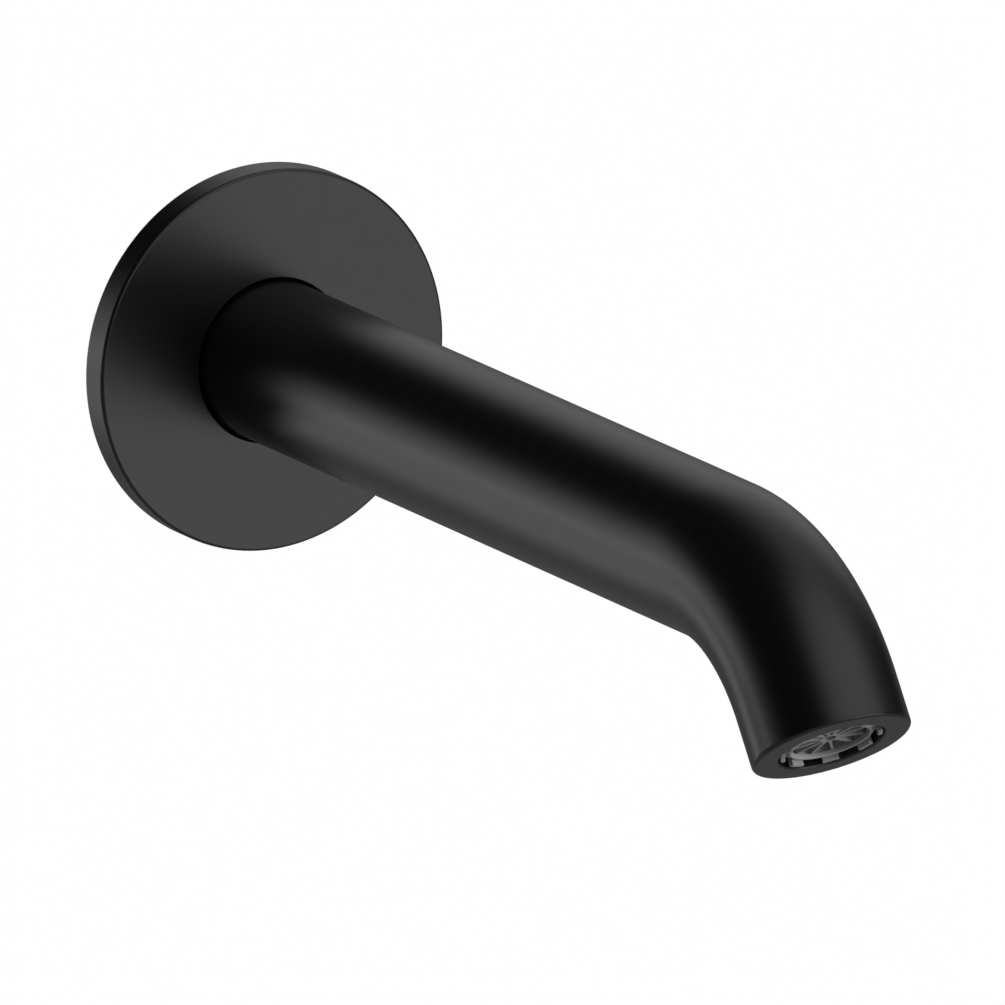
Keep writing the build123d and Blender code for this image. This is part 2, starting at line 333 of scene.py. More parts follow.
def set_inputs(modifier, values):
    """Set a Geometry Nodes modifier's inputs by their names."""
    for item in modifier.node_group.interface.items_tree:
        if item.item_type == "SOCKET" and item.in_out == "INPUT" and item.name in values:
            modifier[item.identifier] = values[item.name]


def skinned(tree, shape, skin):
    """A shape made real, with its material set."""
    whole = add(tree, "GeometryNodeRealizeInstances", {"Geometry": shape})
    return add(tree, "GeometryNodeSetMaterial", {"Geometry": whole, "Material": skin})


def at_outlet(tree, shape, given):
    """A shape turned and moved to the outlet face."""
    return add(tree, "GeometryNodeTransform", {
        "Geometry": shape, "Translation": given["Move"], "Rotation": given["Turn"],
    })


def spread_round(tree, shape, count, start):
    """Copies of a shape spread evenly round the Z axis, made real."""
    points = add(tree, "GeometryNodePoints", {"Count": count})
    one_step = calc(tree, "DIVIDE", FULL_TURN, count)
    turn = calc(tree, "MULTIPLY_ADD", add(tree, "GeometryNodeInputIndex"), one_step, start)
    spin = add(tree, "ShaderNodeCombineXYZ", {"Z": turn})
    copies = add(tree, "GeometryNodeInstanceOnPoints", {
        "Points": points, "Instance": shape, "Rotation": spin,
    })
    return add(tree, "GeometryNodeRealizeInstances", {"Geometry": copies})


# Mesh helpers

def new_object(name, data):
    """Link a mesh, a lamp or a camera to the scene as an object at the origin."""
    made = bpy.data.objects.new(name, data)
    bpy.context.scene.collection.objects.link(made)
    return made


def settle(piece):
    """Work a piece's modifiers into its mesh."""
    bpy.context.view_layer.update()
    worked = piece.evaluated_get(bpy.context.evaluated_depsgraph_get())
    mesh = bpy.data.meshes.new_from_object(worked)
    piece.modifiers.clear()
    piece.data = mesh
    return piece


def grow(piece, tree, values):
    """Run a Geometry Nodes tree on a piece and keep the result as its mesh."""
    modifier = piece.modifiers.new(tree.name, "NODES")
    modifier.node_group = tree
    set_inputs(modifier, values)
    return settle(piece)


def cut(piece, cutter_mesh):
    """Cut a closed mesh out of a piece."""
    cutter = new_object("cutter", cutter_mesh)
    modifier = piece.modifiers.new("cut", "BOOLEAN")
    modifier.operation = "DIFFERENCE"
    modifier.solver = "EXACT"
    modifier.object = cutter
    settle(piece)
    bpy.data.objects.remove(cutter)


def as_one(piece, spare):
    """Two closed pieces as one object, which keeps the first one's name."""
    shape = bmesh.new()
    for mesh in (piece.data, spare.data):
        shape.from_mesh(mesh)
    shape.to_mesh(piece.data)
    shape.free()
    bpy.data.objects.remove(spare)
    return piece


def prism(name, points, depth):
    """Closed prism: a flat outline in X and Y, drawn out along Z by depth, which may be negative."""
    shape = bmesh.new()
    face = shape.faces.new([shape.verts.new((x, y, 0)) for x, y in points])
    drawn = bmesh.ops.extrude_face_region(shape, geom=[face])["geom"]
    far_end = [part for part in drawn if isinstance(part, bmesh.types.BMVert)]
    bmesh.ops.translate(shape, vec=(0, 0, depth), verts=far_end)
    bmesh.ops.recalc_face_normals(shape, faces=shape.faces)
    mesh = bpy.data.meshes.new(name)
    shape.to_mesh(mesh)
    shape.free()
    return mesh


def arc(radius, start, end, steps):
    """Points on a circle about the origin."""
    turns = [start + (end - start) * i / steps for i in range(steps + 1)]
    return [(radius * math.cos(t), radius * math.sin(t)) for t in turns]


def hand_over(piece, node):
    """Tie a finished piece to the frame in place of its solid."""
    piece.data.shade_smooth()
    piece.data.set_sharp_from_angle(angle=SHARP_ANGLE)
    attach(piece, "root")
    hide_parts(node)


# Pieces turned round the spout's line

def corner_arc(back, here, ahead, rounding):
    """Points of one rounded corner, from the run before it to the run after it."""
    to_back, to_ahead = (back - here).normalized(), (ahead - here).normalized()
    half = to_back.angle(to_ahead) / 2
    middle = here + (to_back + to_ahead).normalized() * rounding / math.sin(half)
    reach = rounding / math.tan(half)
    first, last = ((here + way * reach - middle).normalized() for way in (to_back, to_ahead))
    return [middle + first.slerp(last, step / ARC_STEPS) * rounding for step in range(ARC_STEPS + 1)]


def rounded(corners):
    """Closed outline with rounded corners, and with a point near both ends of each run to hold it flat.

    A corner is (station along the spout's line, radius from it) or (station, radius, rounding).
    """
    count = len(corners)
    points = [Vector(corner[:2]) for corner in corners]
    roundings = [corner[2] if len(corner) > 2 else EDGE for corner in corners]
    arcs = [corner_arc(points[i - 1], points[i], points[(i + 1) % count], roundings[i]) for i in range(count)]
    outline = []
    for i, bent in enumerate(arcs):
        run = arcs[(i + 1) % count][0] - bent[-1]
        hold = run * min(HOLD / run.length, 1 / 3)
        outline += [*bent, bent[-1] + hold, bent[-1] + run - hold]
    return outline


def split(outline, stations):
    """Add points to an outline where its runs pass these stations."""
    result = []
    for i, point in enumerate(outline):
        ahead = outline[(i + 1) % len(outline)]
        result.append(point)
        low, high = sorted((point.x, ahead.x))
        passed = [s for s in stations if low + HOLD / 2 < s < high - HOLD / 2]
        for s in sorted(passed, reverse=ahead.x < point.x):
            result.append(point.lerp(ahead, (s - point.x) / (ahead.x - point.x)))
    return result


def turning_tree():
    """A closed outline of stations and radii, turned round the spout's bent line, with a thread if asked."""
    tree, given, result = geometry_tree("turned_on_spout_line", {
        "Around": "Int",
        "Straight run": "Float",
        "Bend radius": "Float",
        "Bend angle": "Float",
        "Thread radius": "Float",
        "Thread depth": "Float",
        "Thread pitch": "Float",
        "Thread end": "Float",
        "Skin": "Material",
        "Waterway": "Material",
    })
    place = add(tree, "ShaderNodeSeparateXYZ", {0: add(tree, "GeometryNodeInputPosition")})
    outline = add(tree, "GeometryNodeCaptureAttribute", domain="POINT")
    for label, source in (("Station", "X"), ("Radius", "Y")):
        outline.capture_items.new("FLOAT", label)
        feed(tree, outline.inputs[label], place.outputs[source])
    feed(tree, outline.inputs[0], add(tree, "GeometryNodeMeshToCurve", {0: given["Geometry"]}))
    circle = add(tree, "GeometryNodeCurvePrimitiveCircle", {"Resolution": given["Around"]})
    round_it = add(tree, "GeometryNodeCaptureAttribute", {0: circle.outputs["Curve"]}, domain="POINT")
    round_it.capture_items.new("FLOAT", "Turn")
    one_step = calc(tree, "DIVIDE", FULL_TURN, given["Around"])
    turn = calc(tree, "MULTIPLY", add(tree, "GeometryNodeInputIndex"), one_step)
    feed(tree, round_it.inputs["Turn"], turn)
    swept = add(tree, "GeometryNodeCurveToMesh", {"Curve": round_it, "Profile Curve": outline})
    station, radius, turn = outline.outputs["Station"], outline.outputs["Radius"], round_it.outputs["Turn"]

    # Thread: the radius falls below the crest once a pitch, along a right-hand helix
    helix = calc(tree, "MULTIPLY", calc(tree, "DIVIDE", station, given["Thread pitch"]), FULL_TURN)
    wave = calc(tree, "COSINE", calc(tree, "SUBTRACT", helix, turn))
    cut_in = calc(tree, "MULTIPLY", calc(tree, "MULTIPLY_ADD", wave, -0.5, 0.5), given["Thread depth"])
    crest = calc(tree, "SUBTRACT", given["Thread radius"], cut_in)
    plain = calc(tree, "GREATER_THAN", station, given["Thread end"])
    radius = calc(tree, "MINIMUM", radius, calc(tree, "ADD", crest, plain))

    # The spout's line: straight out, round the bend, then down the drop
    bend = calc(tree, "DIVIDE", calc(tree, "SUBTRACT", station, given["Straight run"]), given["Bend radius"])
    bend = calc(tree, "MINIMUM", calc(tree, "MAXIMUM", bend, 0.0), given["Bend angle"])
    bend_end = calc(tree, "MULTIPLY_ADD", given["Bend radius"], given["Bend angle"], given["Straight run"])
    drop = calc(tree, "MAXIMUM", calc(tree, "SUBTRACT", station, bend_end), 0.0)
    sine, cosine = calc(tree, "SINE", bend), calc(tree, "COSINE", bend)
    run = calc(tree, "MINIMUM", station, given["Straight run"])
    reach = calc(tree, "MULTIPLY_ADD", given["Bend radius"], sine, run)
    reach = calc(tree, "MULTIPLY_ADD", drop, cosine, reach)
    fall = calc(tree, "MULTIPLY", given["Bend radius"], calc(tree, "SUBTRACT", 1.0, cosine))
    fall = calc(tree, "MULTIPLY_ADD", drop, sine, fall)
    aside = calc(tree, "MULTIPLY", radius, calc(tree, "COSINE", turn))
    above = calc(tree, "MULTIPLY", radius, calc(tree, "SINE", turn))
    forward = calc(tree, "MULTIPLY_ADD", above, sine, reach)
    up = calc(tree, "SUBTRACT", calc(tree, "MULTIPLY", above, cosine), fall)
    back = calc(tree, "MULTIPLY", forward, -1.0)
    where = add(tree, "ShaderNodeCombineXYZ", {"X": aside, "Y": back, "Z": up})
    laid = add(tree, "GeometryNodeSetPosition", {"Geometry": swept, "Position": where})
    outward = add(tree, "GeometryNodeFlipFaces", {0: laid})
    smooth = add(tree, "GeometryNodeSetShadeSmooth", {"Geometry": outward})
    inner = add(tree, "GeometryNodeInputNamedAttribute", {"Name": "waterway"}, data_type="BOOLEAN")
    lined = add(tree, "GeometryNodeSetMaterial", {
        "Geometry": skinned(tree, smooth, given["Skin"]),
        "Selection": inner,
        "Material": given["Waterway"],
    })
    feed(tree, result, lined)
    return tree


def turned(name, outline, skin, waterway=None, is_waterway=None, around=AROUND, thread=None):
    """A piece turned round the spout's line from its outline, without a thread unless its sizes are given."""
    tube = settings().tube
    mesh = bpy.data.meshes.new(name)
    count = len(outline)
    mesh.from_pydata([(p.x, p.y, 0) for p in outline], [(i, (i + 1) % count) for i in range(count)], [])
    flags = mesh.attributes.new("waterway", "BOOLEAN", "POINT")
    for flag, point in zip(flags.data, outline):
        flag.value = bool(is_waterway and is_waterway(point))
    tree = bpy.data.node_groups.get("turned_on_spout_line") or turning_tree()
    return grow(new_object(name, mesh), tree, {
        "Around": around,
        "Straight run": tube.straight,
        "Bend radius": tube.bend_radius,
        "Bend angle": tube.bend_angle,
        "Thread radius": 1.0,
        "Thread depth": 0.0,
        "Thread pitch": 1.0,
        "Thread end": 0.0,
        "Skin": skin,
        "Waterway": waterway or skin,
        **(thread or {}),
    })


def ring(name, stations, radii, rounding, skin, around=AROUND):
    """A plain ring round the spout's line, from its back and front station and its outer and inner radius."""
    (back, ahead), (outside, inside) = stations, radii
    corners = ((back, outside), (ahead, outside), (ahead, inside), (back, inside))
    return turned(name, rounded([(*corner, rounding) for corner in corners]), skin, around=around)


def line_length():
    """Station of the outlet face, along the spout's line from the wall."""
    tube = settings().tube
    return tube.straight + tube.bend_radius * tube.bend_angle + tube.drop


def outlet_place():
    """Turn and place of the outlet face, with Z out of the spout, as a tree's inputs."""
    tube = settings().tube
    sine, cosine = math.sin(tube.bend_angle), math.cos(tube.bend_angle)
    reach = tube.straight + tube.bend_radius * sine + tube.drop * cosine
    fall = tube.bend_radius * (1 - cosine) + tube.drop * sine
    return {"Turn": Euler((math.pi / 2 + tube.bend_angle, 0, 0)), "Move": Vector((0, -reach, -fall))}


# Materials: the scale of a pattern is in cycles a metre

def material(name):
    """A new material: its tree, its shader and its object coordinates."""
    made = bpy.data.materials.new(name)
    made.use_nodes = True
    tree = made.node_tree
    return made, tree, tree.nodes["Principled BSDF"], add(tree, "ShaderNodeTexCoord").outputs["Object"]


def noise(tree, where, scale, detail=2.0):
    """Cloudy pattern."""
    made = add(tree, "ShaderNodeTexNoise", {
        "Vector": where, "Scale": scale, "Detail": detail, "Roughness": 0.5,
    })
    return made.outputs["Fac"]


def between(tree, factor, low, high):
    """A factor spread from low to high."""
    made = add(tree, "ShaderNodeMapRange", {"Value": factor, "To Min": low, "To Max": high})
    return made.outputs["Result"]


# A Mix node's colour sockets, by number: its two inputs and its output
MIX_A, MIX_B, MIX_COLOUR = 6, 7, 2


def tint(tree, factor, base, spread):
    """A base colour that gets darker and lighter by a share of itself."""
    made = add(tree, "ShaderNodeMix", data_type="RGBA")
    feed(tree, made.inputs[0], factor)
    feed(tree, made.inputs[MIX_A], [c * (1 - spread) for c in base] + [1.0])
    feed(tree, made.inputs[MIX_B], [min(1.0, c * (1 + spread)) for c in base] + [1.0])
    return made.outputs[MIX_COLOUR]


def bump(tree, shader, height, strength, distance):
    """Raise a shader's surface by a height."""
    made = add(tree, "ShaderNodeBump", {"Height": height, "Strength": strength, "Distance": distance})
    feed(tree, shader.inputs["Normal"], made.outputs["Normal"])


def stretched(tree, where, scale):
    """Coordinates stretched along the axes."""
    return add(tree, "ShaderNodeMapping", {"Vector": where, "Scale": scale}).outputs["Vector"]


def satin_black(finishes):
    """Powder-fine satin black coating with a faint orange peel."""
    gloss = finishes.coating_gloss
    made, tree, shader, where = material("satin_black_coating")
    cloud, blur = noise(tree, where, scale=90.0), noise(tree, where, scale=400.0)
    peel = noise(tree, where, scale=1600.0, detail=3.0)
    feed(tree, shader.inputs["Base Color"], tint(tree, cloud, finishes.coating, spread=0.2))
    feed(tree, shader.inputs["Roughness"], between(tree, blur, low=gloss - 0.02, high=gloss + 0.02))
    shader.inputs["IOR"].default_value = 1.72
    bump(tree, shader, peel, strength=0.05, distance=0.01 * MM)
    return made


def turned_brass(finishes):
    """Bare brass with fine turning marks round its axis."""
    made, tree, shader, where = material("turned_brass")
    cloud = noise(tree, where, scale=160.0)
    marks = noise(tree, stretched(tree, where, (0.02, 1.0, 0.02)), scale=9000.0, detail=3.0)
    feed(tree, shader.inputs["Base Color"], tint(tree, cloud, finishes.brass, spread=0.12))
    feed(tree, shader.inputs["Roughness"], between(tree, marks, low=0.22, high=0.4))
    shader.inputs["Metallic"].default_value = 1.0
    bump(tree, shader, marks, strength=0.25, distance=0.01 * MM)
    return made


def brushed_steel(finishes):
    """Stainless steel with short fine scratches."""
    made, tree, shader, where = material("brushed_steel")
    cloud = noise(tree, where, scale=300.0)
    scratches = noise(tree, stretched(tree, where, (1.0, 0.05, 0.05)), scale=7000.0, detail=3.0)
    feed(tree, shader.inputs["Base Color"], tint(tree, cloud, finishes.steel, spread=0.1))
    feed(tree, shader.inputs["Roughness"], between(tree, scratches, low=0.25, high=0.4))
    shader.inputs["Metallic"].default_value = 1.0
    bump(tree, shader, scratches, strength=0.2, distance=0.005 * MM)
    return made


def moulded_plastic(name, base, gloss):
    """Moulded plastic with a fine spark-eroded grain."""
    made, tree, shader, where = material(name)
    cloud, grain = noise(tree, where, scale=500.0), noise(tree, where, scale=5000.0)
    feed(tree, shader.inputs["Base Color"], tint(tree, cloud, base, spread=0.06))
    feed(tree, shader.inputs["Roughness"], between(tree, grain, low=gloss - 0.05, high=gloss + 0.05))
    bump(tree, shader, grain, strength=0.15, distance=0.01 * MM)
    return made


def grey_plastic(finishes):
    """Satin grey plastic of the aerator's outside."""
    return moulded_plastic("grey_plastic", finishes.grey_plastic, gloss=0.35)


def dark_plastic(finishes):
    """Matt dark plastic of the aerator's inside."""
    return moulded_plastic("dark_plastic", finishes.dark_plastic, gloss=0.5)


def black_rubber(finishes):
    """Matt black rubber with a slight bloom."""
    made, tree, shader, where = material("black_rubber")
    bloom, pores = noise(tree, where, scale=350.0, detail=4.0), noise(tree, where, scale=3000.0)
    feed(tree, shader.inputs["Base Color"], tint(tree, bloom, finishes.rubber, spread=0.3))
    feed(tree, shader.inputs["Roughness"], between(tree, bloom, low=0.5, high=0.7))
    bump(tree, shader, pores, strength=0.2, distance=0.02 * MM)
    return made


def cell_foam(finishes):
    """Closed-cell foam: small round cells with thin walls."""
    made, tree, shader, where = material("cell_foam")
    cells = add(tree, "ShaderNodeTexVoronoi", {"Vector": where, "Scale": 1400.0}).outputs["Distance"]
    walls = between(tree, cells, low=1.0, high=0.0)
    feed(tree, shader.inputs["Base Color"], tint(tree, walls, finishes.foam, spread=0.25))
    feed(tree, shader.inputs["Roughness"], between(tree, cells, low=0.8, high=0.95))
    bump(tree, shader, cells, strength=0.8, distance=0.25 * MM)
    return made


made_finishes = {}


def finish(make):
    """A finish, made the first time it is asked for."""
    if make not in made_finishes:
        made_finishes[make] = make(settings().finishes)
    return made_finishes[make]


def dress(nodes, make):
    """Give solids that stay as they are a better material."""
    for node in nodes:
        frame["nodes"][node].material_slots[0].material = finish(make)


# Pieces

class SPOUT_OT_tube(bpy.types.Operator):
    """Bend the coated tube, with its collar, bores and grub screw hole."""

    bl_idname = "spout.tube"
    bl_label = "Spout Tube"

    def execute(self, context):
        tube = settings().tube
        outlet = line_length()
        radius, bore, seat = tube.diameter / 2, tube.diameter / 2 - tube.wall, tube.aerator_bore / 2
        inlet, chamfer, mouth = tube.inlet_gap, tube.inlet_chamfer, tube.mouth_chamfer
        outline = rounded([
            (inlet + chamfer, radius),
            (outlet, radius, tube.outlet_edge),
            (outlet, seat + mouth),
            (outlet - mouth, seat),
            (outlet - tube.shoulder_depth, seat),
            (outlet - tube.shoulder_depth, tube.neck / 2),
            (outlet - tube.collar_depth, tube.neck / 2),
            (outlet - tube.collar_depth, bore),
            (inlet + chamfer, bore),
            (inlet, bore + chamfer),
            (inlet, radius - chamfer),
        ])
        bend_length = tube.bend_radius * tube.bend_angle
        bend_steps = round(bend_length / BEND_STEP)
        stations = [tube.straight + bend_length * i / bend_steps for i in range(bend_steps + 1)]
        hole_steps = range(-HOLE_REACH, HOLE_REACH + 1)
        stations += [tube.screw_station + tube.screw_hole * i / HOLE_STEPS for i in hole_steps]
        outline = split(outline, stations)

        def is_waterway(point):
            return point.y < bore + HOLD and point.x < outlet - tube.shoulder_depth + HOLD / 2

        piece = turned("spout_tube", outline, finish(satin_black), finish(turned_brass), is_waterway)
        hole = prism("screw_hole", arc(tube.screw_hole / 2, 0, FULL_TURN, HOLE_SIDES)[:-1], -tube.diameter)
        hole.transform(Matrix.Translation((0, -tube.screw_station, 0)))
        cut(piece, hole)
        hand_over(piece, "spout_body")
        return {"FINISHED"}


class SPOUT_OT_flange(bpy.types.Operator):
    """Turn the coated wall flange, hollow at the back, with a ring groove in its hub."""

    bl_idname = "spout.flange"
    bl_label = "Wall Flange"

    def execute(self, context):
        tube, flange = settings().tube, settings().flange
        front, pocket = flange.thickness, flange.thickness - flange.front_wall
        radius, rim = flange.diameter / 2, flange.diameter / 2 - flange.rim_wall
        bore = tube.diameter / 2 + flange.bore_gap
        hub, floor = bore + flange.hub_wall, tube.diameter / 2 + flange.groove_depth
        groove_front = flange.groove_station + flange.groove_width / 2
        groove_back = flange.groove_station - flange.groove_width / 2
        outline = rounded([
            (0, radius, BACK_EDGE),
            (front, radius, flange.edge),
            (front, bore + flange.bore_chamfer),
            (front - flange.bore_chamfer, bore),
            (groove_front, bore),
            (groove_front, floor),
            (groove_back, floor),
            (groove_back, bore),
            (flange.hub_gap, bore),
            (flange.hub_gap, hub, BACK_EDGE),
            (pocket, hub),
            (pocket, rim),
            (0, rim, BACK_EDGE),
        ])
        piece = turned("cover_flange", outline, finish(satin_black), around=240)
        hand_over(piece, "wall_flange")
        return {"FINISHED"}


class SPOUT_OT_seals(bpy.types.Operator):
    """Lay the foam ring behind the flange, press a rubber ring on the tube and finish the other rings."""

    bl_idname = "spout.seals"
    bl_label = "Seals"

    def execute(self, context):
        tube, flange = settings().tube, settings().flange
        depth = flange.thickness - flange.front_wall
        outside = flange.diameter / 2 - flange.rim_wall - flange.foam_gap
        inside = tube.diameter / 2 + flange.bore_gap + flange.hub_wall + flange.foam_gap
        foam = ring("foam_ring", (0, depth), (outside, inside), flange.foam_edge, finish(cell_foam))
        hand_over(foam, "flange_seal")
        half_width, outside = across("flange_o_ring", 1) / 2, across("flange_o_ring", 0) / 2
        stations = (flange.groove_station - half_width, flange.groove_station + half_width)
        inside = tube.diameter / 2 - flange.ring_press
        rounding = RING_ROUND * (outside - inside)
        rubber = ring("flange_ring", stations, (outside, inside), rounding, finish(black_rubber))
        hand_over(rubber, "flange_o_ring")
        dress(("nipple_o_ring_front", "nipple_o_ring_rear", "aerator_seal"), black_rubber)
        return {"FINISHED"}


class SPOUT_OT_nipple(bpy.types.Operator):
    """Turn the brass nipple: pipe thread, V groove, two ring grooves and a hexagon socket."""

    bl_idname = "spout.nipple"
    bl_label = "Connection Nipple"

    def execute(self, context):
        tube, nipple, flange = settings().tube, settings().nipple, settings().flange
        start, end = -nipple.thread_length, nipple.spigot_length
        thread, spigot, bore = nipple.thread / 2, nipple.spigot / 2, nipple.bore / 2
        lock, lock_half = spigot - nipple.lock_depth, nipple.lock_width / 2
        corners = [
            (start, bore),
            (start, thread - nipple.thread_chamfer),
            (start + nipple.thread_chamfer, thread),
            (0, thread),
            (0, spigot),
            (tube.screw_station - lock_half - nipple.lock_depth, spigot),
            (tube.screw_station - lock_half, lock),
            (tube.screw_station + lock_half, lock),
            (tube.screw_station + lock_half + nipple.lock_depth, spigot),
        ]
        floor = nipple.ring_groove / 2
        for groove in (nipple.rear_groove, nipple.front_groove):
            back, ahead = groove - flange.groove_width / 2, groove + flange.groove_width / 2
            corners += [(back, spigot), (back, floor), (ahead, floor), (ahead, spigot)]
        corners += [(end - nipple.spigot_chamfer, spigot), (end, spigot - nipple.spigot_chamfer), (end, bore)]
        thread_steps = round(nipple.thread_length / (nipple.pitch / PITCH_STEPS))
        outline = split(rounded(corners), [start * i / thread_steps for i in range(thread_steps)])
        piece = turned("threaded_nipple", outline, finish(turned_brass), around=128, thread={
            "Thread radius": thread,
            "Thread depth": nipple.thread_depth,
            "Thread pitch": nipple.pitch,
        })
        corner_radius = nipple.hexagon / 2 / math.cos(math.pi / 6)
        hexagon = arc(corner_radius, 0, FULL_TURN, 6)[:-1]
        socket = prism("hexagon_socket", hexagon, nipple.hexagon_depth + OVERCUT)
        socket.transform(Matrix.Translation((0, -end - OVERCUT, 0)) @ Matrix.Rotation(-math.pi / 2, 4, "X"))
        cut(piece, socket)
        hand_over(piece, "connection_nipple")
        return {"FINISHED"}


class SPOUT_OT_grub_screw(bpy.types.Operator):
    """Give the grub screw under the tube its steel."""

    bl_idname = "spout.grub_screw"
    bl_label = "Grub Screw"

    def execute(self, context):
        dress(("grub_screw",), brushed_steel)
        return {"FINISHED"}


def crown_tree():
    """Notches cut round a ring at the outlet."""
    tree, given, result = geometry_tree("crown_notches", {
        "Notch": "Object",
        "Count": "Int",
        "Start": "Float",
        "Turn": "Rotation",
        "Move": "Vector",
        "Skin": "Material",
    })
    notch = add(tree, "GeometryNodeObjectInfo", {"Object": given["Notch"]})
    cutters = spread_round(tree, notch.outputs["Geometry"], given["Count"], given["Start"])
    notched = add(tree, "GeometryNodeMeshBoolean", operation="DIFFERENCE", solver="EXACT")
    feed(tree, notched.inputs["Mesh 1"], given["Geometry"])
    feed(tree, notched.inputs["Mesh 2"], at_outlet(tree, cutters, given))
    feed(tree, result, skinned(tree, notched, given["Skin"]))
    return tree


class SPOUT_OT_aerator_housing(bpy.types.Operator):
    """Turn the aerator's housing and cut the notches between its teeth."""

    bl_idname = "spout.aerator_housing"
    bl_label = "Aerator Housing"

    def execute(self, context):
        aerator = settings().aerator
        outlet = line_length()
        outside, crown, tooth = aerator.diameter / 2, aerator.crown / 2, aerator.tooth_bore / 2
        lip_outside, lip, insert = aerator.lip_outside / 2, aerator.lip / 2, aerator.insert_bore / 2
        outline = rounded([(outlet - depth, radius, rounding) for depth, radius, rounding in (
            (aerator.housing_depth, outside, EDGE),
            (aerator.crown_depth, outside, EDGE),
            (aerator.crown_depth, crown, FINE_EDGE),
            (aerator.tooth_depth, crown, aerator.tooth_round),
            (aerator.tooth_depth, tooth, aerator.tooth_round),
            (aerator.groove_depth, tooth, EDGE),
            (aerator.groove_depth, lip_outside, EDGE),
            (aerator.lip_depth, lip_outside, aerator.lip_round),
            (aerator.lip_depth, lip, aerator.lip_round),
            (aerator.star_depth, lip, FINE_EDGE),
            (aerator.star_depth, insert, FINE_EDGE),
            (aerator.housing_depth, insert, EDGE),
        )])
        piece = turned("aerator_crown", outline, finish(grey_plastic), around=192)
        half_notch = (FULL_TURN / aerator.tooth_count - aerator.tooth_angle) / 2
        sector = arc(aerator.notch_bore / 2, -half_notch, half_notch, NOTCH_STEPS)
        sector += arc(outside + OVERCUT / 2, half_notch, -half_notch, NOTCH_STEPS)
        notch_mesh = prism("notch", sector, aerator.notch_depth + OVERCUT)
        notch_mesh.transform(Matrix.Translation((0, 0, -aerator.notch_depth)))
        notch = new_object("notch", notch_mesh)
        grow(piece, crown_tree(), {
            "Notch": notch,
            "Count": aerator.tooth_count,
            "Start": aerator.tooth_turn + math.pi / aerator.tooth_count,
            "Skin": finish(grey_plastic),
            **outlet_place(),
        })
        bpy.data.objects.remove(notch)
        hand_over(piece, "aerator_housing")
        return {"FINISHED"}


def star_tree():
    """Ribs joined to a hub and a ring at the outlet."""
    tree, given, result = geometry_tree("star_ribs", {
        "Ribs": "Int",
        "Rib width": "Float",
        "Rib start": "Float",
        "Rib end": "Float",
        "Rib top": "Float",
        "Rib foot": "Float",
        "Turn": "Rotation",
        "Move": "Vector",
        "Skin": "Material",
    })
    size = add(tree, "ShaderNodeCombineXYZ", {
        "X": calc(tree, "SUBTRACT", given["Rib end"], given["Rib start"]),
        "Y": given["Rib width"],
        "Z": calc(tree, "SUBTRACT", given["Rib foot"], given["Rib top"]),
    })
    middle = add(tree, "ShaderNodeCombineXYZ", {
        "X": calc(tree, "MULTIPLY", calc(tree, "ADD", given["Rib start"], given["Rib end"]), 0.5),
        "Z": calc(tree, "MULTIPLY", calc(tree, "ADD", given["Rib top"], given["Rib foot"]), -0.5),
    })
    bar = add(tree, "GeometryNodeMeshCube", {"Size": size})
    rib = add(tree, "GeometryNodeTransform", {"Geometry": bar, "Translation": middle})
    ribs = spread_round(tree, rib, given["Ribs"], 0.0)
    joined = add(tree, "GeometryNodeMeshBoolean", operation="UNION", solver="EXACT")
    for part in (at_outlet(tree, ribs, given), given["Geometry"]):
        feed(tree, joined.inputs["Mesh 2"], part)
    feed(tree, result, skinned(tree, joined, given["Skin"]))
    return tree


class SPOUT_OT_outlet_star(bpy.types.Operator):
    """Mould the outlet star: a ring, a hollow hub and thin ribs between them."""

    bl_idname = "spout.outlet_star"
    bl_label = "Outlet Star"

    def execute(self, context):
        aerator = settings().aerator
        outlet, plastic = line_length(), finish(grey_plastic)
        top, foot = aerator.star_depth, aerator.star_depth + aerator.star_height
        stations = (outlet - foot, outlet - top)
        rim = (aerator.star / 2, aerator.star / 2 - aerator.star_ring)
        hub = (aerator.hub / 2, aerator.hub_hole / 2)
        piece = ring("aerator_star", stations, rim, FINE_EDGE, plastic, around=144)
        as_one(piece, ring("star_hub", stations, hub, FINE_EDGE, plastic, around=144))
        grow(piece, star_tree(), {
            "Ribs": aerator.rib_count,
            "Rib width": aerator.rib_width,
            "Rib start": sum(hub) / 2,
            "Rib end": sum(rim) / 2,
            "Rib top": top + EDGE,
            "Rib foot": foot - EDGE,
            "Skin": plastic,
            **outlet_place(),
        })
        hand_over(piece, "outlet_star")
        return {"FINISHED"}


class SPOUT_OT_aerator_insides(bpy.types.Operator):
    """Give the screen, the disperser and the strainer their finishes."""

    bl_idname = "spout.aerator_insides"
    bl_label = "Aerator Insides"

    def execute(self, context):
        dress(("mixing_screen",), brushed_steel)
        dress(("disperser_plate", "dome_strainer"), dark_plastic)
        return {"FINISHED"}


# Stage

def toward(turn, rise):
    """Direction at a turn from +Y towards +X and a rise above the horizon, in degrees."""
    turn, rise = math.radians(turn), math.radians(rise)
    return Vector((math.sin(turn) * math.cos(rise), math.cos(turn) * math.cos(rise), math.sin(rise)))


WHITE = (1.0, 1.0, 1.0, 1.0)
FLOOR_REACH = 40.0
STUDIO_REACH = 80.0
CAMERA_REACH = 100.0

# The flag's cloth is paler below the spout, a painted pool of light, and fades darker between two distances;
# its bays run from turn to turn, beyond a distance
FLAG_STEPS = 720
FLAG_PAINTED_LIGHT_FADE = (1.4, 2.2)
FLAG_BAYS = tuple((math.radians(start), math.radians(end), reach) for start, end, reach in (
    (-62, -35, 6.0), (-35, -21.8, 1.2), (128, 172, 1.263),
))

# Lamps: where each stands, and how broad it is
KEY_PLACE, KEY_SPREAD = toward(-150, 75), math.radians(100)
FILL_PLACE, FILL_SPREAD = toward(128, 2), math.radians(30)

